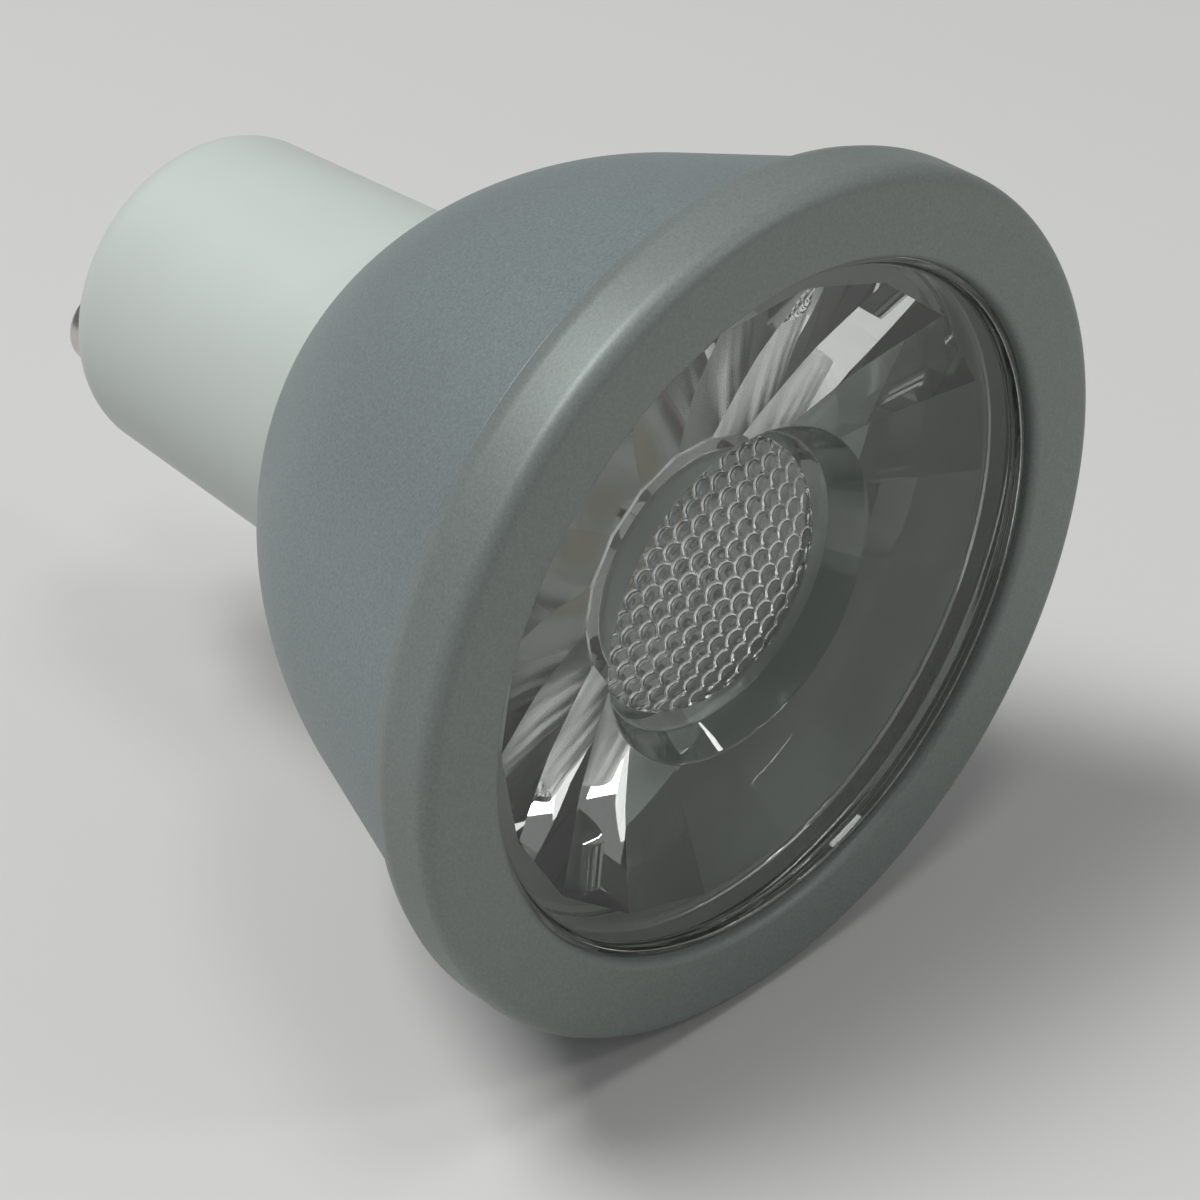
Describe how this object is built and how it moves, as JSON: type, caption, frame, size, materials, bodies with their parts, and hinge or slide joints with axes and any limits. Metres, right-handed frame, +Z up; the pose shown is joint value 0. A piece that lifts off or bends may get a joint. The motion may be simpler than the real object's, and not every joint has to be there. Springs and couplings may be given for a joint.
{
  "type": "gu10 spotlight bulb",
  "caption": "Spotlight bulb with a white twist-lock pin base, a rounded grey bowl and a clear beaded lens under a soft-edged front ring.",
  "frame": {"origin": "centre of the flat end face of the white base, where the contact pins stand out", "axes": "+Y along the pins, out of the base, so the beam leaves along -Y; +Z up as the lamp lies in the picture"},
  "size_m": [0.05, 0.0528, 0.05],
  "materials": {
    "ring_grey": "satin moulded plastic, warm grey",
    "shell_paint": "fine blue-grey metallic paint",
    "white_base": "matte moulded plastic",
    "clear_lens": "clear moulded acrylic",
    "bare_aluminium": "drawn, bare",
    "pin_plating": "nickel-plated brass",
    "screw_steel": "zinc-plated",
    "pad_grey": "soft filled silicone",
    "led_board_white": "white solder mask on aluminium",
    "dam_silicone": "cured silicone bead",
    "phosphor_yellow": "phosphor-filled silicone",
    "driver_board_green": "glass-fibre board with solder mask",
    "ferrite": "pressed ferrite",
    "copper_winding": "enamelled copper",
    "capacitor_sleeve": "shrunk sleeve",
    "film_red": "dipped resin",
    "resistor_blue": "lacquered ceramic",
    "chip_black": "moulded epoxy",
    "lead_white": "insulated wire",
    "lead_red": "insulated wire",
    "lead_black": "insulated wire"
  },
  "bodies": {
    "root": {"front_ring": "ring_grey", "lens": "clear_lens", "body_shell": "shell_paint", "heat_sink_cup": "bare_aluminium", "thermal_pad": "pad_grey", "cob_board": "led_board_white", "cob_dam": "dam_silicone", "cob_phosphor": "phosphor_yellow", "fixing_screws": "screw_steel", "base_housing": "white_base", "contact_pin_left": "pin_plating", "contact_pin_right": "pin_plating", "input_lead_left": "lead_white", "input_lead_right": "lead_white", "output_lead_left": "lead_black", "output_lead_right": "lead_red", "driver_board": "driver_board_green", "transformer_core": "ferrite", "transformer_winding": "copper_winding", "electrolytic_capacitor": "capacitor_sleeve", "film_capacitor": "film_red", "fuse_resistor": "resistor_blue", "bridge_rectifier": "chip_black", "driver_chip": "chip_black", "output_diode": "chip_black", "chip_resistors": "chip_black"}
  },
  "joints": []
}
